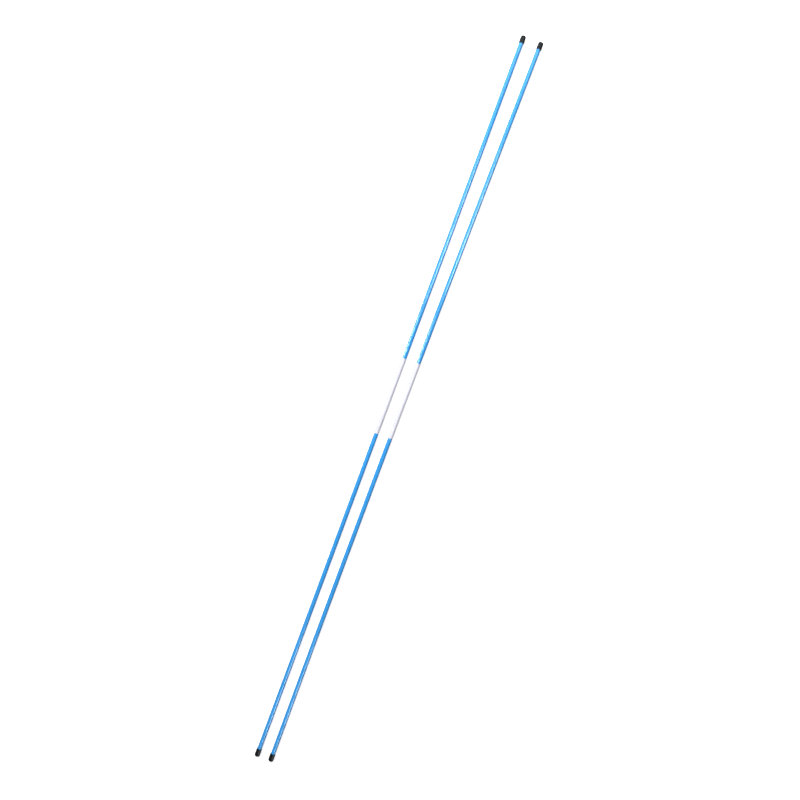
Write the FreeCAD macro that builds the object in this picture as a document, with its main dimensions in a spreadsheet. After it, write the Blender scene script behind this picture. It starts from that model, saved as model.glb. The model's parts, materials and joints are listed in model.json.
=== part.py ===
import FreeCAD, Part

import os

import Sketcher

# A pair of slim fibreglass alignment sticks, lying side by side on a floor.
# Each stick is a solid rod, a white sleeve shrunk on at mid-length, and a soft push-on cap at
# both ends.  +X runs along the sticks to their heads, +Z is up and z = 0 is the floor, which the
# caps touch.  The origin is under the middle of the pair.  The left stick is straight and
# parallel to X.  The right stick has the slight sideways set of a long pultruded rod, and it lies
# turned a little away from the left one.  A bowed rod is bent between its caps' mouths, and
# straight inside them.

# Driving sizes: alias, value (millimetres, or degrees for an angle), what it is.
SIZES = (
    ("overall_length", 1219.2, "one stick from cap tip to cap tip, 48 inches"),
    ("rod_diameter", 7.0, "solid pultruded rod"),
    ("rod_end_bevel", 0.8, "bevel that breaks the sawn ends of the rod"),
    ("sleeve_length", 127.0, "white sleeve at mid-length, 5 inches"),
    ("sleeve_wall", 0.15, "shrunk wall of the sleeve"),
    ("cap_length", 12.7, "moulded cap from mouth to tip, half an inch"),
    ("cap_wall", 0.65, "side wall of the cap"),
    ("cap_floor", 2.0, "closed end of the cap"),
    ("cap_clearance", 0.03, "radial fit of the cap on the rod"),
    ("cap_seat_gap", 0.2, "air between the rod's end and the cap's floor"),
    ("cap_tip_round", 2.6, "rounding of the cap's closed end"),
    ("cap_lip_round", 0.25, "rounding of the mouth's outer edge"),
    ("cap_lead_in", 0.2, "bevel of the mouth's inner edge"),
    ("cap_inner_round", 0.6, "rounding at the bottom of the cap's bore"),
    ("stick_spacing", 23.5, "between the sticks' axes at mid-length"),
    ("right_turn", 0.303, "degrees that the right stick is turned away, at mid-length"),
    ("right_bow_radius", 67200.0, "radius of the right stick's sideways set"),
)

SHEET = "Sizes"
HEAD, FOOT = 1, -1
HALF_TURN = {HEAD: 0, FOOT: 180}
NEAR = 1e-3
LEAST_CUT = 1e-3

# Lengths that follow from the driving sizes, as expressions on the sheet.
ROD_RADIUS = f"({SHEET}.rod_diameter / 2)"
BORE_RADIUS = f"({ROD_RADIUS} + {SHEET}.cap_clearance)"
CAP_RADIUS = f"({BORE_RADIUS} + {SHEET}.cap_wall)"
BORE_DEPTH = f"({SHEET}.cap_length - {SHEET}.cap_floor)"
GRIP_LENGTH = f"({BORE_DEPTH} - {SHEET}.cap_seat_gap)"
BARE_LENGTH = f"({SHEET}.overall_length - 2 * {SHEET}.cap_length)"
BOW_RADIUS = f"{SHEET}.right_bow_radius"
DEGREES_PER_MM = f"(180 / pi / {BOW_RADIUS})"


def value(sheet, alias):
    """One of the sheet's numbers."""
    return float(sheet.get(alias))


def fill_sheet(doc):
    """The spreadsheet that holds the driving sizes."""
    sheet = doc.addObject("Spreadsheet::Sheet", SHEET)
    for row, (alias, number, meaning) in enumerate(SIZES, start=1):
        sheet.set(f"A{row}", alias)
        sheet.set(f"B{row}", str(number))
        sheet.set(f"C{row}", meaning)
        sheet.setAlias(f"B{row}", alias)
    doc.recompute()
    return sheet


def new_body(doc, label):
    """An empty body whose label names its piece."""
    body = doc.addObject("PartDesign::Body", label)
    body.Label = label
    return body


def section_sketch(body, name):
    """An empty sketch across the stick, in the body's own YZ plane."""
    sketch = body.newObject("Sketcher::SketchObject", name)
    plane = next(p for p in body.Origin.OriginFeatures if p.Role == "YZ_Plane")
    sketch.AttachmentSupport = [(plane, "")]
    sketch.MapMode = "FlatFace"
    return sketch


def add_circle(sketch, radius):
    """A circle about the sketch's origin whose radius follows an expression."""
    circle = sketch.addGeometry(Part.Circle(FreeCAD.Vector(), FreeCAD.Vector(0, 0, 1), 1.0))
    sketch.addConstraint(Sketcher.Constraint("Coincident", circle, 3, -1, 1))
    fixed = sketch.addConstraint(Sketcher.Constraint("Radius", circle, 1.0))
    sketch.setExpression(f"Constraints[{fixed}]", radius)


def add_bow_axis(sketch):
    """An upright construction line, one bow radius to the right, that a bowed piece turns about."""
    low, high = FreeCAD.Vector(-1, 0, 0), FreeCAD.Vector(-1, 1, 0)
    line = sketch.addGeometry(Part.LineSegment(low, high), True)
    sketch.addConstraint(Sketcher.Constraint("Vertical", line))
    sketch.addConstraint(Sketcher.Constraint("PointOnObject", line, 1, -1))
    sketch.addConstraint(Sketcher.Constraint("DistanceY", line, 1, line, 2, 1.0))
    fixed = sketch.addConstraint(Sketcher.Constraint("DistanceX", line, 1, -1, 1, 1.0))
    sketch.setExpression(f"Constraints[{fixed}]", BOW_RADIUS)


def pad(body, sketch, name, length):
    """A sketch pushed out along +X."""
    feature = body.newObject("PartDesign::Pad", name)
    feature.Profile = sketch
    feature.setExpression("Length", length)
    return feature


def run_straight(body, sketch, length):
    """The section pushed along the stick, half to each side."""
    run = pad(body, sketch, "run", length)
    run.SideType = "Symmetric"
    return run


def run_bowed(body, sketch, length):
    """The section turned about the far bow axis, half to each side."""
    add_bow_axis(sketch)
    run = body.newObject("PartDesign::Revolution", "run")
    run.Profile = sketch
    run.ReferenceAxis = (sketch, ["Axis0"])
    run.Midplane = True
    run.setExpression("Angle", f"{length} * {DEGREES_PER_MM}")
    return run


def straight_mouth(end):
    """(along, aside, heading in degrees) of a cap's mouth in its stick's frame, as expressions."""
    return f"({end} * {BARE_LENGTH} / 2)", "0", "0"


def bowed_mouth(end):
    """The same for a bowed stick, whose ends swing to its right."""
    swing = f"({BARE_LENGTH} / 2 * {DEGREES_PER_MM})"
    along = f"({end} * {BOW_RADIUS} * sin({swing}))"
    aside = f"(0 - {BOW_RADIUS} * (1 - cos({swing})))"
    return along, aside, f"(0 - {end} * {swing})"


def rings(feature, radius, along=None):
    """The names of a feature's round edges of one radius across X, and at one place if it is given."""
    found = []
    for number, edge in enumerate(feature.Shape.Edges, start=1):
        curve = edge.Curve
        if not isinstance(curve, Part.Circle) or abs(curve.Axis.x) < 0.5:
            continue
        if abs(curve.Radius - radius) < NEAR and (along is None or abs(curve.Center.x - along) < NEAR):
            found.append(f"Edge{number}")
    return found


def furthest_rings(feature, radius):
    """The round edges of one radius that lie furthest out at the two ends of a feature."""
    names = rings(feature, radius)
    place = {name: feature.Shape.getElement(name).Curve.Center.x for name in names}
    return [min(names, key=place.get), max(names, key=place.get)]


def round_edges(body, base, edges, name, radius):
    """Rounds some of the base feature's edges."""
    fillet = body.newObject("PartDesign::Fillet", name)
    fillet.Base = (base, edges)
    fillet.setExpression("Radius", radius)
    return fillet


def bevel_edges(body, base, edges, name, size):
    """Bevels some of the base feature's edges."""
    chamfer = body.newObject("PartDesign::Chamfer", name)
    chamfer.Base = (base, edges)
    chamfer.setExpression("Size", size)
    return chamfer


def make_rod(doc, sheet, side, run, mouth):
    """One stick's solid rod: its run between the caps, a tail inside each, and bevelled ends."""
    body = new_body(doc, f"{side}_rod")
    sketch = section_sketch(body, "rod_section")
    add_circle(sketch, ROD_RADIUS)
    run(body, sketch, BARE_LENGTH)
    for name, end in (("head_tail", HEAD), ("foot_tail", FOOT)):
        along, aside, heading = mouth(end)
        section = section_sketch(body, f"{name}_section")
        section.AttachmentOffset = FreeCAD.Placement(
            FreeCAD.Vector(), FreeCAD.Rotation(FreeCAD.Vector(0, 1, 0), 1)
        )
        section.setExpression("AttachmentOffset.Base.x", aside)
        section.setExpression("AttachmentOffset.Base.z", along)
        section.setExpression("AttachmentOffset.Rotation.Angle", heading)
        add_circle(section, ROD_RADIUS)
        tail = pad(body, section, name, GRIP_LENGTH)
        tail.Reversed = end == FOOT
        doc.recompute()
    ends = furthest_rings(tail, value(sheet, "rod_diameter") / 2)
    bevel_edges(body, tail, ends, "end_bevels", f"{SHEET}.rod_end_bevel")
    return body


def make_sleeve(doc, side, run):
    """The thin sleeve shrunk on the middle of one rod."""
    body = new_body(doc, f"{side}_centre_sleeve")
    sketch = section_sketch(body, "sleeve_section")
    add_circle(sketch, f"{ROD_RADIUS} + {SHEET}.sleeve_wall")
    add_circle(sketch, ROD_RADIUS)
    run(body, sketch, f"{SHEET}.sleeve_length")
    return body


def make_cap(doc, sheet, label):
    """A push-on cap: its mouth is at its body's origin and its closed end points along +X."""
    body = new_body(doc, label)
    outer = section_sketch(body, "outer_section")
    add_circle(outer, CAP_RADIUS)
    plug = pad(body, outer, "plug", f"{SHEET}.cap_length")
    inner = section_sketch(body, "bore_section")
    add_circle(inner, BORE_RADIUS)
    bore = body.newObject("PartDesign::Pocket", "bore")
    bore.Profile = inner
    bore.Reversed = True
    bore.setExpression("Length", BORE_DEPTH)
    doc.recompute()
    if plug.Shape.Volume - bore.Shape.Volume < LEAST_CUT:
        raise RuntimeError(f"{label}: the bore cuts nothing")

    length = value(sheet, "cap_length")
    depth = length - value(sheet, "cap_floor")
    bore_radius = value(sheet, "rod_diameter") / 2 + value(sheet, "cap_clearance")
    radius = bore_radius + value(sheet, "cap_wall")
    roundings = (
        ("tip_round", radius, length, "cap_tip_round"),
        ("bottom_round", bore_radius, depth, "cap_inner_round"),
        ("lip_round", radius, 0, "cap_lip_round"),
    )
    last = bore
    for name, ring_radius, along, size in roundings:
        last = round_edges(body, last, rings(last, ring_radius, along), name, f"{SHEET}.{size}")
        doc.recompute()
    bevel_edges(body, last, rings(last, bore_radius, 0), "lead_in", f"{SHEET}.cap_lead_in")
    return body


def head_offset():
    """How much further out the bowed stick's head cap lies than its middle."""
    along, aside, heading = bowed_mouth(HEAD)
    turn = f"{SHEET}.right_turn"
    mouth = f"{along} * sin({turn}) - {aside} * cos({turn})"
    return f"({mouth} + {SHEET}.cap_length * sin({turn} - {heading}))"


def put(body, along, across, turn):
    """Ties a body's place on the floor and its heading to the sheet; the axis is a cap radius up."""
    body.setExpression("Placement.Base.x", along)
    body.setExpression("Placement.Base.y", across)
    body.setExpression("Placement.Base.z", CAP_RADIUS)
    body.setExpression("Placement.Rotation.Angle", turn)


def make_stick(doc, sheet, side, run, mouth, across, turn):
    """One stick's rod, sleeve and caps, with its middle at y = across and turned by turn degrees."""
    pieces = [make_rod(doc, sheet, side, run, mouth), make_sleeve(doc, side, run)]
    for piece in pieces:
        put(piece, "0", across, turn)
    for name, end in (("head", HEAD), ("foot", FOOT)):
        along, aside, heading = mouth(end)
        place_x = f"{along} * cos({turn}) - {aside} * sin({turn})"
        place_y = f"{across} + {along} * sin({turn}) + {aside} * cos({turn})"
        cap = make_cap(doc, sheet, f"{side}_{name}_cap")
        put(cap, place_x, place_y, f"{turn} + {heading} + {HALF_TURN[end]}")
        pieces.append(cap)
    return pieces


def check(doc, pieces):
    """Stops if any object failed or any piece isn't one valid solid."""
    for thing in doc.Objects:
        if {"Invalid", "Error"} & set(thing.State):
            raise RuntimeError(f"{thing.Label}: {thing.State}")
    for piece in pieces:
        shape = piece.Shape
        if shape.isNull() or not shape.isValid() or len(shape.Solids) != 1:
            raise RuntimeError(f"{piece.Label}: its shape isn't one valid solid")


def main():
    """Builds both sticks and writes each piece to its own file."""
    doc = FreeCAD.newDocument("alignment_sticks")
    sheet = fill_sheet(doc)
    left_axis = f"(({SHEET}.stick_spacing + {head_offset()}) / 2)"
    right_axis = f"({left_axis} - {SHEET}.stick_spacing)"
    right_turn = f"(0 - {SHEET}.right_turn)"
    pieces = make_stick(doc, sheet, "left", run_straight, straight_mouth, left_axis, "0")
    pieces += make_stick(doc, sheet, "right", run_bowed, bowed_mouth, right_axis, right_turn)
    doc.recompute()
    check(doc, pieces)
    os.makedirs("parts", exist_ok=True)
    for piece in pieces:
        piece.Shape.exportStep(os.path.join("parts", f"{piece.Label}.step"))
        box = piece.Shape.BoundBox
        print(f"{piece.Label}: {piece.Shape.Volume:.1f} mm3, x {box.XMin:.2f} to {box.XMax:.2f}")


main()
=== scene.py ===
"""A pair of one-piece fibreglass alignment sticks, laid side by side on a white table.

Each stick is a solid blue rod with a white film sleeve shrunk round its middle and a
soft black cap pushed over each end.  The right-hand stick leans and bows slightly.
Every piece is made straight, laid on its stick's centre line, rides on a body of the
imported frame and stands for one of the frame's nodes.
"""

import json
import logging
import math
from dataclasses import dataclass
from enum import Enum
from typing import Any

import bmesh
import bpy
from mathutils import Matrix, Vector


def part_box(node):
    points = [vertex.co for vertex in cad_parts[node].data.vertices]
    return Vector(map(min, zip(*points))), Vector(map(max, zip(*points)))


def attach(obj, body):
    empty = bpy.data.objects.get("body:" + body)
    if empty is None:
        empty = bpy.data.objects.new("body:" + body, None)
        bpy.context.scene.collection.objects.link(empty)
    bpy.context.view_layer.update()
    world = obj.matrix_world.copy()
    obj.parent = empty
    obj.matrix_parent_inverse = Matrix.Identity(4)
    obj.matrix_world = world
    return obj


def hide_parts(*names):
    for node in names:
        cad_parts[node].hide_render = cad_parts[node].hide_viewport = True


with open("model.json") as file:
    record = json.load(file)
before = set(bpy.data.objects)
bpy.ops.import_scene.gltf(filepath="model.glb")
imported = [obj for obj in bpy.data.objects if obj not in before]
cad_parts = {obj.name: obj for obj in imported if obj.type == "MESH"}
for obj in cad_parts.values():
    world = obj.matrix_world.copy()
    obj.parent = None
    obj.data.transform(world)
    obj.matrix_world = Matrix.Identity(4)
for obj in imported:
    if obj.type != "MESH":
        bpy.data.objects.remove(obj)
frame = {"record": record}

LOG = logging.getLogger("alignment_sticks")
STRAIGHT_PLACE = "straight_place"
CLOSE = 1e-6  # metres within which two places count as one
EVEN = 0.5  # the share at which two mixed colours count the same
NOISE_MIDDLE = 0.5  # what a noise node gives on average
MIX_COLOURS = (6, 7)  # a Mix node's input sockets for two colours
MIX_RESULT = 2  # its output socket for their mixture
UPRIGHT = 90.0  # degrees from the sticks' own direction to the side of an unturned view

Triple = tuple[float, float, float]
Sockets = dict[int | str, Any]


# ---------------------------------------------------------------- shader work


@dataclass(frozen=True)
class Signal:
    """A number or colour that varies over a surface; numbers take ordinary arithmetic.

    Attributes:
        bench: The bench on which the signal's nodes are laid out.
        socket: The output socket that carries it, or None after an output node.
    """

    bench: "Bench"
    socket: bpy.types.NodeSocket | None

    def _maths(self, operation: str, *terms: "Signal | float") -> "Signal":
        """Adds one Math node.

        Args:
            operation: The node's operation.
            *terms: What it works on, in order.

        Returns:
            The node's result.
        """
        return self.bench.node("ShaderNodeMath", {"operation": operation}, dict(enumerate(terms)))

    def __add__(self, other: "Signal | float") -> "Signal":
        """Returns this signal plus the other."""
        return self._maths("ADD", self, other)

    __radd__ = __add__

    def __sub__(self, other: "Signal | float") -> "Signal":
        """Returns this signal less the other."""
        return self._maths("SUBTRACT", self, other)

    def __rsub__(self, other: float) -> "Signal":
        """Returns the other less this signal."""
        return self._maths("SUBTRACT", other, self)

    def __mul__(self, other: "Signal | float") -> "Signal":
        """Returns this signal times the other."""
        return self._maths("MULTIPLY", self, other)

    __rmul__ = __mul__

    def __abs__(self) -> "Signal":
        """Returns this signal without its sign."""
        return self._maths("ABSOLUTE", self)

    def rise(self, low: float, high: float) -> "Signal":
        """Returns 0 below low, 1 above high and a smooth rise between them."""
        settings = {"interpolation_type": "SMOOTHSTEP", "clamp": True}
        return self.bench.node("ShaderNodeMapRange", settings, {0: self, 1: low, 2: high})

    def part(self, axis: str) -> "Signal":
        """Returns one axis of a vector: X, Y or Z."""
        return self.bench.node("ShaderNodeSeparateXYZ", None, {0: self}, axis)


class Bench:
    """Lays out the shader nodes of one material or world."""

    def __init__(self, owner: bpy.types.Material | bpy.types.World) -> None:
        """Clears the owner's nodes.

        Args:
            owner: The material or world that is laid out.
        """
        self.owner = owner
        self.owner.use_nodes = True
        self.tree = owner.node_tree
        self.tree.nodes.clear()

    def node(
        self,
        kind: str,
        settings: dict[str, Any] | None = None,
        sockets: Sockets | None = None,
        output: int | str = 0,
    ) -> Signal:
        """Adds any node.

        Args:
            kind: The node's type.
            settings: The node's own properties, which are set first.
            sockets: The value or the signal of each input socket.
            output: The output socket that is wanted.

        Returns:
            The wanted output.
        """
        node = self.tree.nodes.new(kind)
        for name, value in (settings or {}).items():
            setattr(node, name, value)
        for key, value in (sockets or {}).items():
            if isinstance(value, Signal):
                self.tree.links.new(value.socket, node.inputs[key])
            else:
                node.inputs[key].default_value = value
        return Signal(self, node.outputs[output] if node.outputs else None)

    def place(self, scale: Triple = (1.0, 1.0, 1.0)) -> Signal:
        """Returns the place on the straight piece, in metres, times scale."""
        place = self.node(
            "ShaderNodeAttribute", {"attribute_name": STRAIGHT_PLACE}, None, "Vector"
        )
        return self.node("ShaderNodeMapping", None, {"Vector": place, "Scale": scale})

    def noise(self, scale: Triple, detail: float = 2.0) -> Signal:
        """Returns a cloudy signal about 0, mostly within 0.25 of it.

        Args:
            scale: How many clouds there are to a metre along each axis.
            detail: How many finer layers the clouds have.
        """
        sockets = {"Vector": self.place(scale), "Scale": 1.0, "Detail": detail}
        return self.node("ShaderNodeTexNoise", None, sockets) - NOISE_MIDDLE

    def blend(self, first: Triple | Signal, second: Triple | Signal, share: Signal) -> Signal:
        """Mixes two colours.

        Args:
            first: The colour where share is 0.
            second: The colour where share is 1.
            share: How much of the second there is.

        Returns:
            The mixed colour.
        """
        sockets: Sockets = {0: share}
        for key, colour in zip(MIX_COLOURS, (first, second)):
            sockets[key] = colour if isinstance(colour, Signal) else (*colour, 1.0)
        return self.node("ShaderNodeMix", {"data_type": "RGBA"}, sockets, MIX_RESULT)

    def relief(self, height: Signal, depth: float) -> Signal:
        """Returns the normal of a surface that rises depth metres as height rises by 1."""
        return self.node("ShaderNodeBump", None, {"Height": height, "Distance": depth})

    def seen(self) -> Signal:
        """Returns 1 for what is seen directly, and 0 for what lights or mirrors in a piece."""
        return self.node("ShaderNodeLightPath", None, None, "Is Camera Ray")

    def principled(self, sockets: Sockets) -> Signal:
        """Returns a Principled shader with these values and signals."""
        return self.node("ShaderNodeBsdfPrincipled", None, sockets)

    def finish(self, surface: Signal) -> bpy.types.Material:
        """Ends the material with its surface.

        Args:
            surface: The surface's shader.

        Returns:
            The finished material.
        """
        self.node("ShaderNodeOutputMaterial", None, {"Surface": surface})
        return self.owner


@dataclass(frozen=True)
class BlueFibreglass:
    """Glossy pigmented resin over straight glass fibre, faintly streaked lengthwise.

    Attributes:
        deep: The colour where the resin lies thick over the fibre.
        pale: The colour where the fibre shows.
        bundle_scale: How many fibre bundles there are to a metre along each axis.
        bundle_layers: How many finer layers a bundle has.
        thread_scale: How many threads there are to a metre along each axis.
        cloud_scale: How many clouds in the resin there are to a metre along each axis.
        bundle_tint: How strongly a bundle changes the colour.
        thread_tint: How strongly a thread does.
        cloud_tint: How strongly a cloud does.
        roughness: The gloss of the drawn surface.
        thread_dulling: How much duller it is over a thread.
        cloud_dulling: How much duller it is in a cloud.
        index: The resin's refractive index.
        mirroring: How strongly it mirrors, where 0.5 is plain for its index.
        fibre_relief: How far the fibre bundles stand up, in metres.
        thread_height: How high a thread stands beside a bundle.
    """

    deep: Triple = (0.022, 0.328, 0.835)
    pale: Triple = (0.045, 0.398, 0.940)
    bundle_scale: Triple = (4.0, 1500.0, 1500.0)
    bundle_layers: float = 3.0
    thread_scale: Triple = (24.0, 5200.0, 5200.0)
    cloud_scale: Triple = (7.0, 90.0, 90.0)
    bundle_tint: float = 1.3
    thread_tint: float = 0.7
    cloud_tint: float = 1.0
    roughness: float = 0.11
    thread_dulling: float = 0.04
    cloud_dulling: float = 0.02
    index: float = 1.56
    mirroring: float = 0.83
    fibre_relief: float = 0.000002
    thread_height: float = 0.4

    def material(self) -> bpy.types.Material:
        """Returns the finish as a material."""
        bench = Bench(bpy.data.materials.new("blue_fibreglass_gloss"))
        bundles = bench.noise(self.bundle_scale, self.bundle_layers)
        threads = bench.noise(self.thread_scale)
        clouds = bench.noise(self.cloud_scale)
        tint = self.bundle_tint * bundles + self.thread_tint * threads + self.cloud_tint * clouds
        dulling = self.thread_dulling * threads + self.cloud_dulling * clouds
        surface = bench.principled(
            {
                "Base Color": bench.blend(self.deep, self.pale, EVEN + tint),
                "Roughness": self.roughness + dulling,
                "IOR": self.index,
                "Specular IOR Level": self.mirroring,
                "Normal": bench.relief(bundles + self.thread_height * threads, self.fibre_relief),
            }
        )
        return bench.finish(surface)


@dataclass(frozen=True)
class SawnFibreglass:
    """The cut end of the rod: pale fibre ends in blue resin, dull from the saw.

    Attributes:
        resin: The colour between the fibre bundles.
        fibre: The colour of the bundles' cut ends.
        bundle_scale: How many bundles there are to a metre along each axis.
        bundle_edge: Where a bundle's colour starts to fade and where it ends.
        mottle_scale: How many paler and darker places there are to a metre along each axis.
        scratch_scale: How many saw scratches there are to a metre along each axis.
        bundle_tint: How strongly a bundle changes the colour.
        mottle_tint: How strongly the mottling does.
        roughness: The dullness of the cut.
        scratch_dulling: How much duller it is in a scratch.
        saw_relief: How deep the cut is broken up, in metres.
        bundle_height: How high a bundle stands beside a scratch.
    """

    resin: Triple = (0.030, 0.240, 0.560)
    fibre: Triple = (0.330, 0.560, 0.780)
    bundle_scale: Triple = (0.0, 2600.0, 2600.0)
    bundle_edge: tuple[float, float] = (0.15, 0.75)
    mottle_scale: Triple = (0.0, 900.0, 900.0)
    scratch_scale: Triple = (0.0, 500.0, 9000.0)
    bundle_tint: float = 0.7
    mottle_tint: float = 0.8
    roughness: float = 0.62
    scratch_dulling: float = 0.3
    saw_relief: float = 0.00004
    bundle_height: float = 0.6

    def material(self) -> bpy.types.Material:
        """Returns the finish as a material."""
        bench = Bench(bpy.data.materials.new("sawn_fibreglass"))
        sockets = {"Vector": bench.place(self.bundle_scale), "Scale": 1.0}
        cells = bench.node("ShaderNodeTexVoronoi", {"feature": "F1"}, sockets, "Distance")
        bundle = 1 - cells.rise(*self.bundle_edge)
        mottle = bench.noise(self.mottle_scale)
        scratches = bench.noise(self.scratch_scale)
        tint = self.bundle_tint * bundle + self.mottle_tint * mottle
        surface = bench.principled(
            {
                "Base Color": bench.blend(self.resin, self.fibre, tint),
                "Roughness": self.roughness + self.scratch_dulling * scratches,
                "Normal": bench.relief(self.bundle_height * bundle + scratches, self.saw_relief),
            }
        )
        return bench.finish(surface)


@dataclass(frozen=True)
class WhiteFilm:
    """Thin white film, shrunk tight: an eggshell sheen, two lay-flat creases, soft ends.

    Attributes:
        half_length: Half the sleeve's length, in metres.
        clean: The colour of the film.
        dulled: The colour where it is thin or handled.
        end_grime: The colour at the very ends, where the film meets the rod.
        grime_reach: How far the grime spreads from an end, in metres.
        grime_share: How much of it there is at the end itself.
        mottle_scale: How many dulled places there are to a metre along each axis.
        mottle_layers: How many finer layers they have.
        mottle_tint: How strongly they change the colour.
        mottle_dulling: How much duller they are.
        ripple_scale: How many ripples there are to a metre along each axis.
        roughness: The sheen of the film.
        index: The film's refractive index.
        mirroring: How strongly it mirrors, where 0.5 is plain for its index.
        crease_reach: How far a crease spreads to each side, in metres.
        crease_height: How high a crease stands beside a ripple.
        film_relief: How far the film ripples, in metres.
    """

    half_length: float
    clean: Triple = (0.780, 0.773, 0.880)
    dulled: Triple = (0.710, 0.703, 0.815)
    end_grime: Triple = (0.560, 0.580, 0.660)
    grime_reach: float = 0.0009
    grime_share: float = 0.6
    mottle_scale: Triple = (70.0, 260.0, 260.0)
    mottle_layers: float = 3.0
    mottle_tint: float = 1.8
    mottle_dulling: float = 0.25
    ripple_scale: Triple = (160.0, 420.0, 420.0)
    roughness: float = 0.34
    index: float = 1.5
    mirroring: float = 0.7
    crease_reach: float = 0.00035
    crease_height: float = 0.8
    film_relief: float = 0.00003

    def material(self) -> bpy.types.Material:
        """Returns the finish as a material."""
        bench = Bench(bpy.data.materials.new("white_shrunk_film"))
        place = bench.place()
        crease = 1 - abs(place.part("Z")).rise(0.0, self.crease_reach)
        grime = abs(place.part("X")).rise(self.half_length - self.grime_reach, self.half_length)
        mottle = bench.noise(self.mottle_scale, self.mottle_layers)
        ripple = bench.noise(self.ripple_scale)
        film = bench.blend(self.clean, self.dulled, EVEN + self.mottle_tint * mottle)
        surface = bench.principled(
            {
                "Base Color": bench.blend(film, self.end_grime, self.grime_share * grime),
                "Roughness": self.roughness + self.mottle_dulling * mottle,
                "IOR": self.index,
                "Specular IOR Level": self.mirroring,
                "Normal": bench.relief(ripple + self.crease_height * crease, self.film_relief),
            }
        )
        return bench.finish(surface)


@dataclass(frozen=True)
class BlackVinyl:
    """Soft black vinyl: a fine moulded grain, satin, scuffed grey towards the tip.

    Attributes:
        tip: How far the tip lies from the stick's middle, in metres.
        black: The colour of the fresh vinyl.
        scuffed: The colour of a scuff.
        grain_scale: How many grains there are to a metre along each axis.
        smear_scale: How many smears there are to a metre along each axis.
        smear_layers: How many finer layers a smear has.
        scuff_edge: How strong a smear is where it starts to be a scuff and where it is one.
        side_scuffing: How strong a scuff is on the cap's sides.
        tip_scuffing: How much stronger it is at the tip.
        tip_reach: How far the tip's scuffs spread from it, in metres.
        roughness: The satin of the moulded skin.
        scuff_dulling: How much duller a scuff is.
        smear_dulling: How much duller a smear is.
        index: The vinyl's refractive index.
        mirroring: How strongly it mirrors, where 0.5 is plain for its index.
        grain_relief: How deep the grain is, in metres.
        smear_height: How high a smear stands beside a grain.
    """

    tip: float
    black: Triple = (0.004, 0.004, 0.006)
    scuffed: Triple = (0.030, 0.029, 0.032)
    grain_scale: Triple = (5200.0, 5200.0, 5200.0)
    smear_scale: Triple = (420.0, 900.0, 900.0)
    smear_layers: float = 3.0
    scuff_edge: tuple[float, float] = (0.02, 0.22)
    side_scuffing: float = 0.25
    tip_scuffing: float = 0.6
    tip_reach: float = 0.0035
    roughness: float = 0.22
    scuff_dulling: float = 0.22
    smear_dulling: float = 0.12
    index: float = 1.5
    mirroring: float = 0.35
    grain_relief: float = 0.000014
    smear_height: float = 0.6

    def material(self) -> bpy.types.Material:
        """Returns the finish as a material."""
        bench = Bench(bpy.data.materials.new("black_soft_vinyl"))
        grain = bench.noise(self.grain_scale)
        smears = bench.noise(self.smear_scale, self.smear_layers)
        near_tip = abs(bench.place().part("X")).rise(self.tip - self.tip_reach, self.tip)
        scuffing = self.side_scuffing + self.tip_scuffing * near_tip
        scuffs = smears.rise(*self.scuff_edge) * scuffing
        dulling = self.scuff_dulling * scuffs + self.smear_dulling * smears
        surface = bench.principled(
            {
                "Base Color": bench.blend(self.black, self.scuffed, scuffs),
                "Roughness": self.roughness + dulling,
                "IOR": self.index,
                "Specular IOR Level": self.mirroring,
                "Normal": bench.relief(grain + self.smear_height * smears, self.grain_relief),
            }
        )
        return bench.finish(surface)


@dataclass(frozen=True)
class WhiteTable:
    """A white table lit from below; the sticks themselves see it dim, as from a dark tent.

    Attributes:
        paint: The colour of the table.
        near_glow: The light that comes up through it near the sticks, which keeps shadows faint.
        far_glow: The light that comes up through it well away from them.
        glow_reach: Where the near glow ends and where the far glow starts, from the middle.
        seen_by_sticks: The colour that lights and mirrors in the sticks.
        cloud_scale: How many clouds there are to a metre in its sheen.
        roughness: The sheen of the paint.
        cloud_dulling: How much duller it is in a cloud.
    """

    paint: Triple = (0.930, 0.930, 0.930)
    near_glow: Triple = (0.600, 0.600, 0.600)
    far_glow: Triple = (1.000, 1.000, 1.000)
    glow_reach: tuple[float, float] = (0.9, 3.0)
    seen_by_sticks: Triple = (0.400, 0.400, 0.400)
    cloud_scale: float = 40.0
    roughness: float = 0.55
    cloud_dulling: float = 0.2

    def material(self) -> bpy.types.Material:
        """Returns the finish as a material."""
        bench = Bench(bpy.data.materials.new("white_table"))
        place = bench.node("ShaderNodeTexCoord", None, None, "Object")
        cloud = bench.node("ShaderNodeTexNoise", None, {"Vector": place, "Scale": self.cloud_scale})
        away = bench.node("ShaderNodeVectorMath", {"operation": "LENGTH"}, {0: place}, "Value")
        glow = bench.blend(self.near_glow, self.far_glow, away.rise(*self.glow_reach))
        white = bench.principled(
            {
                "Base Color": (*self.paint, 1.0),
                "Roughness": self.roughness + self.cloud_dulling * cloud,
                "Emission Color": glow,
                "Emission Strength": 1.0,
            }
        )
        dim = bench.node("ShaderNodeBsdfDiffuse", None, {"Color": (*self.seen_by_sticks, 1.0)})
        sockets = {0: bench.seen(), 1: dim, 2: white}
        return bench.finish(bench.node("ShaderNodeMixShader", None, sockets))


# ---------------------------------------------------------------- the sticks' lines and sizes


class Side(Enum):
    """The two sticks, seen with their heads pointing away."""

    LEFT = "left"
    RIGHT = "right"


class End(Enum):
    """The two ends of a stick, with the way each faces along it."""

    HEAD = 1
    FOOT = -1

    @property
    def word(self) -> str:
        """Returns the end's name as the frame spells it."""
        return self.name.lower()


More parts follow.
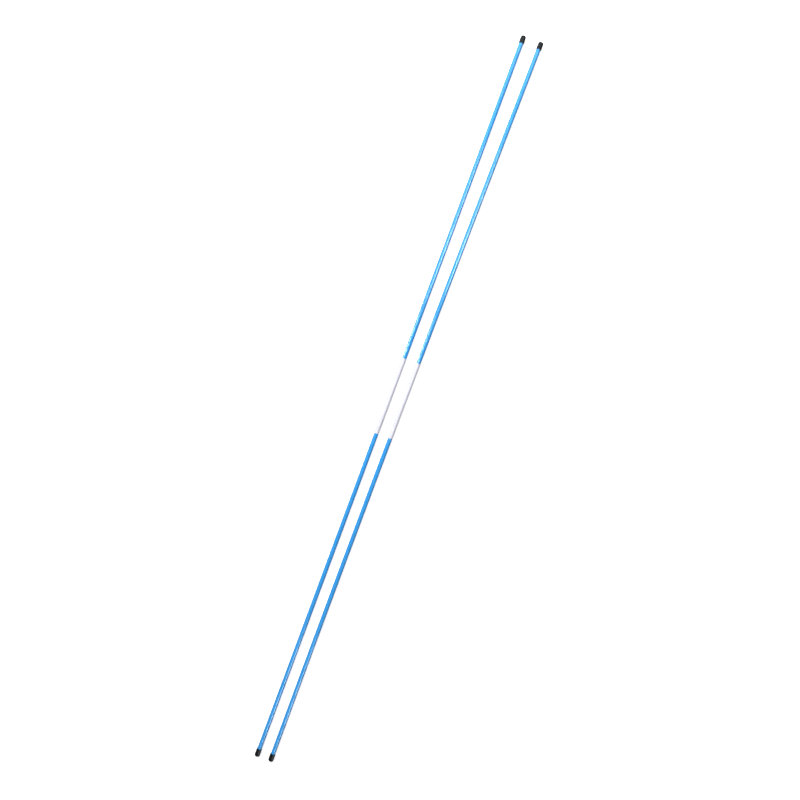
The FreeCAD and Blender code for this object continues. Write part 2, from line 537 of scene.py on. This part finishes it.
@dataclass(frozen=True)
class StickSizes:
    """The sizes that both sticks share, in metres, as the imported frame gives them.

    Attributes:
        rod_radius: The rod's radius.
        rod_half_length: Half the rod's length.
        sleeve_radius: The sleeve's outer radius.
        sleeve_half_length: Half the sleeve's length.
        cap_radius: The cap's outer radius.
        cap_mouth: How far a cap's mouth lies from the stick's middle.
        cap_tip: How far a cap's tip lies from the stick's middle.
        grip_middle: How far the middle of a cap's plain wall lies from its mouth.
    """

    rod_radius: float
    rod_half_length: float
    sleeve_radius: float
    sleeve_half_length: float
    cap_radius: float
    cap_mouth: float
    cap_tip: float
    grip_middle: float

    @classmethod
    def from_frame(cls, mounts: dict[str, dict[str, Any]]) -> "StickSizes":
        """Reads the sizes off the straight left-hand stick.

        Args:
            mounts: The record's mounts by name.

        Returns:
            The sizes.
        """
        rod_low, rod_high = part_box("left_rod")
        sleeve_low, sleeve_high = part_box("left_centre_sleeve")
        cap_low, cap_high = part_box("left_head_cap")
        return cls(
            rod_radius=(rod_high.z - rod_low.z) / 2,
            rod_half_length=(rod_high.x - rod_low.x) / 2,
            sleeve_radius=(sleeve_high.z - sleeve_low.z) / 2,
            sleeve_half_length=(sleeve_high.x - sleeve_low.x) / 2,
            cap_radius=(cap_high.z - cap_low.z) / 2,
            cap_mouth=cap_low.x,
            cap_tip=cap_high.x,
            grip_middle=mounts["left_head_end"]["pos_m"][0] - cap_low.x,
        )


@dataclass(frozen=True)
class StickLine:
    """A stick's centre line: a flat arc from cap mouth to cap mouth, straight beyond.

    Attributes:
        middle: The line's frame at its middle, with X towards the head and Z up.
        half_arc: Half the arc's length, in metres.
        turn: How far the heading turns left from the foot's mouth to the head's.
    """

    middle: Matrix
    half_arc: float
    turn: float

    @classmethod
    def between(cls, foot: Vector, foot_way: Vector, head: Vector, head_way: Vector) -> "StickLine":
        """Finds the line between two cap mouths.

        Args:
            foot: The centre of the foot cap's mouth.
            foot_way: The way the foot cap points.
            head: The centre of the head cap's mouth.
            head_way: The way the head cap points.

        Returns:
            The line.
        """
        start = math.atan2(-foot_way.y, -foot_way.x)
        turn = math.atan2(head_way.y, head_way.x) - start
        half_arc = (head - foot).length / 2 / cls._chord_share(turn)
        heading = Matrix.Rotation(start + turn / 2, 4, "Z")
        centred = cls(heading, half_arc, turn)
        ends = centred.at(half_arc).translation + centred.at(-half_arc).translation
        shift = (head + foot) / 2 - ends / 2
        return cls(Matrix.Translation(shift) @ heading, half_arc, turn)

    @staticmethod
    def _chord_share(turn: float) -> float:
        """Returns an arc's chord as a share of its length, for the turn along it."""
        half = turn / 2
        return math.sin(half) / half if half else 1.0

    def at(self, along: float) -> Matrix:
        """Finds the line's frame at a distance from its middle.

        Args:
            along: The distance towards the head, in metres.

        Returns:
            The frame there, with X along the line and Z up.
        """
        on_arc = max(-self.half_arc, min(self.half_arc, along))
        turned = self.turn * on_arc / (2 * self.half_arc)
        chord = on_arc * self._chord_share(turned)
        beyond = along - on_arc
        offset = Vector(
            (
                chord * math.cos(turned / 2) + beyond * math.cos(turned),
                chord * math.sin(turned / 2) + beyond * math.sin(turned),
                0.0,
            )
        )
        return self.middle @ Matrix.Translation(offset) @ Matrix.Rotation(turned, 4, "Z")


# ---------------------------------------------------------------- the pieces


@dataclass
class Piece:
    """One part of a stick, made straight along X about the stick's middle.

    Attributes:
        name: The piece's own name.
        node: The frame's node that it stands for.
        body: The frame's body that it rides on.
        slot: The record's material slot for the piece; not used.
        coats: Its finishes, in the order of its faces' material numbers.
    """

    name: str
    node: str
    body: str
    slot: str
    coats: list[bpy.types.Material]

    FACETS = 72  # round the piece
    FLAT = 1  # steps of a rounding that is a flat bevel
    SHARP_FROM = math.radians(32)

    def shape(self) -> bmesh.types.BMesh:
        """Returns the straight piece."""
        raise NotImplementedError

    def lay(self, line: StickLine) -> bpy.types.Object:
        """Lays the piece on its stick's line and fixes it to its body.

        Args:
            line: The stick's centre line.

        Returns:
            The finished object.
        """
        shape = self.shape()
        straight = shape.verts.layers.float_vector.new(STRAIGHT_PLACE)
        for vertex in shape.verts:
            vertex[straight] = vertex.co
            vertex.co = line.at(vertex.co.x) @ Vector((0.0, vertex.co.y, vertex.co.z))
        mesh = bpy.data.meshes.new(self.name)
        shape.to_mesh(mesh)
        shape.free()
        mesh.shade_smooth()
        mesh.set_sharp_from_angle(angle=self.SHARP_FROM)
        for coat in self.coats:
            mesh.materials.append(coat)
        made = bpy.data.objects.new(self.name, mesh)
        bpy.context.scene.collection.objects.link(made)
        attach(made, self.body)
        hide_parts(self.node)
        LOG.info("%s: %d faces, rides on %s", self.name, len(mesh.polygons), self.body)
        return made

    def bar(self, radius: float, low: float, high: float) -> bmesh.types.BMesh:
        """Makes a closed round bar along X.

        Args:
            radius: The bar's radius.
            low: Where the bar starts.
            high: Where the bar ends.

        Returns:
            The bar.
        """
        shape = bmesh.new()
        turned = Matrix.Translation(((low + high) / 2, 0.0, 0.0)) @ Matrix.Rotation(math.pi / 2, 4, "Y")
        bmesh.ops.create_cone(
            shape,
            cap_ends=True,
            segments=self.FACETS,
            radius1=radius,
            radius2=radius,
            depth=high - low,
            matrix=turned,
        )
        return shape

    @staticmethod
    def ring(shape: bmesh.types.BMesh, along: float, radius: float) -> list[bmesh.types.BMEdge]:
        """Finds the edges of one ring about X.

        Args:
            shape: The piece so far.
            along: Where the ring lies.
            radius: The ring's radius.

        Returns:
            The ring's edges.
        """
        return [
            edge
            for edge in shape.edges
            if all(
                abs(vertex.co.x - along) < CLOSE and abs(vertex.co.yz.length - radius) < CLOSE
                for vertex in edge.verts
            )
        ]

    def round_ring(
        self, shape: bmesh.types.BMesh, along: float, radius: float, size: float, steps: int
    ) -> None:
        """Rounds one ring, or bevels it flat in a single step.

        Args:
            shape: The piece so far.
            along: Where the ring lies.
            radius: The ring's radius.
            size: How far the rounding reaches on each side.
            steps: How many facets the rounding has.
        """
        bmesh.ops.bevel(
            shape,
            geom=self.ring(shape, along, radius),
            offset=size,
            offset_type="OFFSET",
            segments=steps,
            profile=0.5,
            affect="EDGES",
            material=-1,
        )

    @staticmethod
    def cut_across(shape: bmesh.types.BMesh, places: list[float]) -> None:
        """Adds a ring of edges across the piece at each place along it.

        Args:
            shape: The piece so far.
            places: Where the rings go.
        """
        for place in places:
            everything = [*shape.verts, *shape.edges, *shape.faces]
            bmesh.ops.bisect_plane(
                shape, geom=everything, dist=CLOSE, plane_co=(place, 0.0, 0.0), plane_no=(1.0, 0.0, 0.0)
            )

    @staticmethod
    def face_at(shape: bmesh.types.BMesh, along: float) -> bmesh.types.BMFace:
        """Returns the widest flat face that closes the piece at a place along it."""
        flat = [
            face for face in shape.faces if all(abs(vertex.co.x - along) < CLOSE for vertex in face.verts)
        ]
        return max(flat, key=lambda face: face.calc_area())


@dataclass
class Rod(Piece):
    """The solid rod, bevelled at both sawn ends.

    Attributes:
        radius: The rod's radius.
        half_length: Half the rod's length.
        end_bevel: How far the sawn ends are bevelled.
        arris: How far the bevel's own edges are worn round.
        bays: How many lengths the rod is divided into, so that it can bow.
    """

    ARRIS_STEPS = 3
    INSET = 2  # arrises from the end's edge to the ring that holds its flat face
    HOLD = 3  # arrises from the bevel to the first bay

    radius: float = 0.0
    half_length: float = 0.0
    end_bevel: float = 0.0008
    arris: float = 0.00009
    bays: int = 32

    def shape(self) -> bmesh.types.BMesh:
        """Returns the straight rod, its sides in the first coat and its ends in the second."""
        shape = self.bar(self.radius, -self.half_length, self.half_length)
        bevel_start = self.half_length - self.end_bevel
        for way in (-1, 1):
            end = way * self.half_length
            self.round_ring(shape, end, self.radius, self.end_bevel, self.FLAT)
            for along, radius in ((end, self.radius - self.end_bevel), (way * bevel_start, self.radius)):
                self.round_ring(shape, along, radius, self.arris, self.ARRIS_STEPS)
            flat_end = self.face_at(shape, end)
            bmesh.ops.inset_region(shape, faces=[flat_end], thickness=self.INSET * self.arris)
        hold = bevel_start - self.HOLD * self.arris
        step = 2 * hold / self.bays
        self.cut_across(shape, [-hold + bay * step for bay in range(self.bays + 1)])
        for face in shape.faces:
            face.material_index = int(abs(face.calc_center_median().x) > bevel_start)
        return shape


@dataclass
class CentreSleeve(Piece):
    """The white film sleeve shrunk round the middle of the rod.

    Attributes:
        outer: The sleeve's outer radius.
        inner: The radius of the rod inside it.
        half_length: Half the sleeve's length.
        end_round: How far the cut ends are rounded.
        bays: How many lengths the sleeve is divided into, so that it can bow.
    """

    ROUND_STEPS = 4
    HOLD = 4  # roundings from the end to the first bay

    outer: float = 0.0
    inner: float = 0.0
    half_length: float = 0.0
    end_round: float = 0.00007
    bays: int = 8

    def shape(self) -> bmesh.types.BMesh:
        """Returns the straight sleeve."""
        shape = bmesh.new()
        start = Matrix.Translation((-self.half_length, 0.0, 0.0)) @ Matrix.Rotation(math.pi / 2, 4, "Y")
        for radius in (self.outer, self.inner):
            bmesh.ops.create_circle(shape, segments=self.FACETS, radius=radius, matrix=start)
        end_ring = bmesh.ops.bridge_loops(shape, edges=shape.edges)["faces"]
        drawn = bmesh.ops.extrude_face_region(shape, geom=end_ring)["geom"]
        far_end = [item for item in drawn if isinstance(item, bmesh.types.BMVert)]
        bmesh.ops.translate(shape, verts=far_end, vec=(2 * self.half_length, 0.0, 0.0))
        for end in (-self.half_length, self.half_length):
            self.round_ring(shape, end, self.outer, self.end_round, self.ROUND_STEPS)
        hold = self.half_length - self.HOLD * self.end_round
        step = 2 * hold / self.bays
        self.cut_across(shape, [-hold + bay * step for bay in range(self.bays + 1)])
        bmesh.ops.recalc_face_normals(shape, faces=shape.faces)
        return shape


@dataclass
class EndCap(Piece):
    """A soft vinyl cap pushed over one end of the rod.

    Attributes:
        end: The end of the stick that it closes.
        radius: The cap's outer radius.
        mouth: How far the mouth lies from the stick's middle.
        tip: How far the closed tip lies from the stick's middle.
        bore_radius: The radius of the bore that grips the rod.
        floor: How thick the closed end is.
        tip_round: How far the tip is rounded.
        lip_round: How far the outside of the mouth is rounded.
        lead_in: How far the inside of the mouth is bevelled.
        corner_round: How far the bore's inner corner is rounded.
    """

    TIP_STEPS = 12
    LIP_STEPS = 4
    CORNER_STEPS = 5

    end: End = End.HEAD
    radius: float = 0.0
    mouth: float = 0.0
    tip: float = 0.0
    bore_radius: float = 0.0
    floor: float = 0.0020
    tip_round: float = 0.0026
    lip_round: float = 0.00025
    lead_in: float = 0.0002
    corner_round: float = 0.0006

    def shape(self) -> bmesh.types.BMesh:
        """Returns the cap in its place on the straight stick."""
        shape = self.bar(self.radius, self.mouth, self.tip)
        bore = self.face_at(shape, self.mouth)
        bmesh.ops.inset_region(shape, faces=[bore], thickness=self.radius - self.bore_radius)
        sunk = bmesh.ops.extrude_face_region(shape, geom=[bore])["geom"]
        bottom = [item for item in sunk if isinstance(item, bmesh.types.BMVert)]
        bore_end = self.tip - self.floor
        bmesh.ops.translate(shape, verts=bottom, vec=(bore_end - self.mouth, 0.0, 0.0))
        self.round_ring(shape, self.tip, self.radius, self.tip_round, self.TIP_STEPS)
        self.round_ring(shape, self.mouth, self.radius, self.lip_round, self.LIP_STEPS)
        self.round_ring(shape, self.mouth, self.bore_radius, self.lead_in, self.FLAT)
        self.round_ring(shape, bore_end, self.bore_radius, self.corner_round, self.CORNER_STEPS)
        if self.end is End.FOOT:
            about = Matrix.Rotation(math.pi, 3, "Z")
            bmesh.ops.rotate(shape, verts=shape.verts, cent=(0.0, 0.0, 0.0), matrix=about)
        return shape


@dataclass(frozen=True)
class Coats:
    """The four finishes that both sticks share."""

    fibreglass: bpy.types.Material
    sawn_end: bpy.types.Material
    film: bpy.types.Material
    vinyl: bpy.types.Material

    @classmethod
    def for_sizes(cls, sizes: StickSizes) -> "Coats":
        """Returns the finishes for sticks of these sizes."""
        return cls(
            BlueFibreglass().material(),
            SawnFibreglass().material(),
            WhiteFilm(sizes.sleeve_half_length).material(),
            BlackVinyl(sizes.cap_tip).material(),
        )


@dataclass
class AlignmentStick:
    """One stick: a rod, a centre sleeve and two end caps.

    Attributes:
        side: Which of the pair it is.
        sizes: The sizes that both sticks share.
        coats: The finishes that both sticks share.
        bore_clearance: How far the bore stands off the rod, in metres.
    """

    side: Side
    sizes: StickSizes
    coats: Coats
    bore_clearance: float = 0.00003

    def line(self, mounts: dict[str, dict[str, Any]]) -> StickLine:
        """Finds the stick's centre line.

        Args:
            mounts: The record's mounts by name.

        Returns:
            The line.
        """
        mouths = []
        for end in (End.FOOT, End.HEAD):
            mount = mounts[f"{self.side.value}_{end.word}_end"]
            way = Vector(mount["axis"])
            mouths += [Vector(mount["pos_m"]) - way * self.sizes.grip_middle, way]
        return StickLine.between(*mouths)

    def rod(self) -> Rod:
        """Returns the stick's rod."""
        side, sizes = self.side.value, self.sizes
        return Rod(
            f"{side}_fibreglass_rod",
            f"{side}_rod",
            f"{side}_stick",
            "blue_fibreglass",
            [self.coats.fibreglass, self.coats.sawn_end],
            radius=sizes.rod_radius,
            half_length=sizes.rod_half_length,
        )

    def sleeve(self) -> CentreSleeve:
        """Returns the stick's centre sleeve."""
        side, sizes = self.side.value, self.sizes
        return CentreSleeve(
            f"{side}_shrunk_sleeve",
            f"{side}_centre_sleeve",
            f"{side}_stick",
            "white_sleeve",
            [self.coats.film],
            outer=sizes.sleeve_radius,
            inner=sizes.rod_radius,
            half_length=sizes.sleeve_half_length,
        )

    def cap(self, end: End) -> EndCap:
        """Returns the stick's cap at one end."""
        place, sizes = f"{self.side.value}_{end.word}", self.sizes
        return EndCap(
            f"{place}_vinyl_cap",
            f"{place}_cap",
            place,
            "black_cap",
            [self.coats.vinyl],
            end=end,
            radius=sizes.cap_radius,
            mouth=sizes.cap_mouth,
            tip=sizes.cap_tip,
            bore_radius=sizes.rod_radius + self.bore_clearance,
        )

    def build(self, mounts: dict[str, dict[str, Any]]) -> None:
        """Makes the stick's four pieces and lays them on its line.

        Args:
            mounts: The record's mounts by name.
        """
        line = self.line(mounts)
        bow = math.degrees(line.turn)
        LOG.info("%s stick: %.4f m of arc, turning %.3f degrees", self.side.value, 2 * line.half_arc, bow)
        for piece in (self.rod(), self.sleeve(), self.cap(End.HEAD), self.cap(End.FOOT)):
            piece.lay(line)


# ---------------------------------------------------------------- the studio


class Task(Enum):
    """What a light is for, to light the pieces' colours or to mirror in their gloss, and its tint."""

    COLOUR = (1.00, 1.00, 1.00)
    GLOSS = (0.76, 0.95, 1.00)


@dataclass(frozen=True)
class Softbox:
    """A soft square light.

    Attributes:
        name: The light's name.
        task: What it is for.
        centre: Where its middle hangs, in metres.
        size: Its width along X and along Y, or across when it is aimed.
        brightness: How bright its face looks.
        aim: The point that it faces, or None for straight down.
    """

    name: str
    task: Task
    centre: Triple
    size: tuple[float, float]
    brightness: float
    aim: Triple | None = None

    def hang(self) -> None:
        """Hangs the light, whose power is its brightness times pi times its area."""
        lamp = bpy.data.lights.new(self.name, "AREA")
        lamp.shape = "RECTANGLE"
        lamp.size, lamp.size_y = self.size
        lamp.energy = self.brightness * math.pi * self.size[0] * self.size[1]
        lamp.color = self.task.value
        light = bpy.data.objects.new(self.name, lamp)
        light.location = self.centre
        if self.aim is not None:
            way = Vector(self.aim) - Vector(self.centre)
            light.rotation_euler = way.to_track_quat("-Z", "Y").to_euler()
        light.visible_camera = False
        light.visible_diffuse = self.task is Task.COLOUR
        light.visible_glossy = self.task is Task.GLOSS
        bpy.context.scene.collection.objects.link(light)
        LOG.info("%s hung at %s", self.name, self.centre)


@dataclass(frozen=True)
class Studio:
    """A white table under soft lights, with a camera straight above it.

    Attributes:
        sticks_height: The height of the sticks' centre lines.
        lean: How far the sticks lean to the right of upright in the view, in degrees.
        look_at: The point under the camera.
        camera_height: How far the camera hangs over the sticks' centre lines.
        view_width: The width that it sees at that height.
        sensor_width: The width of the camera's sensor, in millimetres.
        table_width: The width of the square table.
        dimness: How bright the room is round the table.
        softboxes: The lights.
    """

    sticks_height: float
    lean: float = 20.36
    look_at: tuple[float, float] = (-0.00057, -0.00186)
    camera_height: float = 1.6
    view_width: float = 1.2696
    sensor_width: float = 36.0
    table_width: float = 14.0
    dimness: float = 0.19
    softboxes: tuple[Softbox, ...] = (
        Softbox("head_key", Task.COLOUR, (2.0, 1.1, 1.6), (0.8, 0.8), 31.0, (1.0, 0.0, 0.0)),
        Softbox("overhead", Task.COLOUR, (0.5, 0.6, 2.2), (1.8, 1.2), 5.0),
        Softbox("far_sky", Task.GLOSS, (1.5, -0.4, 1.7), (0.8, 0.9), 3.5),
        Softbox("far_middle_sky", Task.GLOSS, (1.5, 0.7, 1.7), (0.8, 1.2), 0.5),
        Softbox("far_left_sky", Task.GLOSS, (1.3, 2.2, 1.7), (1.2, 1.6), 3.4),
        Softbox("near_sky", Task.GLOSS, (0.9, 0.7, 1.7), (0.4, 1.6), 0.8),
        Softbox("near_head_strip", Task.GLOSS, (0.48, -0.55, 1.7), (0.2, 0.6), 20.0),
        Softbox("middle_head_strip", Task.GLOSS, (0.75, -0.9, 1.7), (0.34, 0.7), 12.0),
        Softbox("low_head_strip", Task.GLOSS, (0.75, -1.75, 1.7), (0.34, 1.0), 5.6),
        Softbox("near_middle_strip", Task.GLOSS, (0.11, 0.9, 1.1), (0.43, 0.5), 6.0),
        Softbox("low_middle_strip", Task.GLOSS, (0.11, 2.5, 1.1), (0.43, 1.3), 38.0),
        Softbox("near_foot_strip", Task.GLOSS, (-1.1, -0.9, 1.7), (0.4, 0.7), 3.2),
        Softbox("far_foot_strip", Task.GLOSS, (-1.24, -1.7, 1.7), (0.42, 0.9), 11.0),
    )

    def lay_table(self) -> None:
        """Lays the table under the sticks."""
        shape = bmesh.new()
        bmesh.ops.create_grid(shape, x_segments=1, y_segments=1, size=self.table_width / 2)
        mesh = bpy.data.meshes.new("table_top")
        shape.to_mesh(mesh)
        shape.free()
        mesh.materials.append(WhiteTable().material())
        table = bpy.data.objects.new("table_top", mesh)
        bpy.context.scene.collection.objects.link(table)

    def fill_room(self) -> None:
        """Gives the room a dim even light, and shows it white beyond the table."""
        bench = Bench(bpy.data.worlds.new("studio_room"))
        strength = self.dimness + (1.0 - self.dimness) * bench.seen()
        sockets = {"Color": (1.0, 1.0, 1.0, 1.0), "Strength": strength}
        light = bench.node("ShaderNodeBackground", None, sockets)
        bench.node("ShaderNodeOutputWorld", None, {"Surface": light})
        bpy.context.scene.world = bench.owner

    def place_camera(self) -> None:
        """Hangs the camera over the sticks, looking straight down."""
        lens = bpy.data.cameras.new("overhead_camera")
        lens.sensor_width = self.sensor_width
        lens.lens = self.sensor_width * self.camera_height / self.view_width
        camera = bpy.data.objects.new("overhead_camera", lens)
        camera.location = (*self.look_at, self.sticks_height + self.camera_height)
        camera.rotation_euler = (0.0, 0.0, math.radians(self.lean - UPRIGHT))
        bpy.context.scene.collection.objects.link(camera)
        bpy.context.scene.camera = camera

    def build(self) -> None:
        """Sets the whole studio up."""
        self.lay_table()
        self.fill_room()
        for softbox in self.softboxes:
            softbox.hang()
        self.place_camera()
        bpy.context.scene.view_settings.view_transform = "Standard"


def main() -> None:
    """Builds the pair of sticks and the studio."""
    logging.basicConfig(level=logging.INFO, format="%(name)s: %(message)s")
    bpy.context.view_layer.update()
    mounts = {mount["name"]: mount for mount in frame["record"]["mounts"]}
    sizes = StickSizes.from_frame(mounts)
    coats = Coats.for_sizes(sizes)
    for side in Side:
        AlignmentStick(side, sizes, coats).build(mounts)
    Studio(sizes.cap_radius).build()


if __name__ == "__main__":
    main()
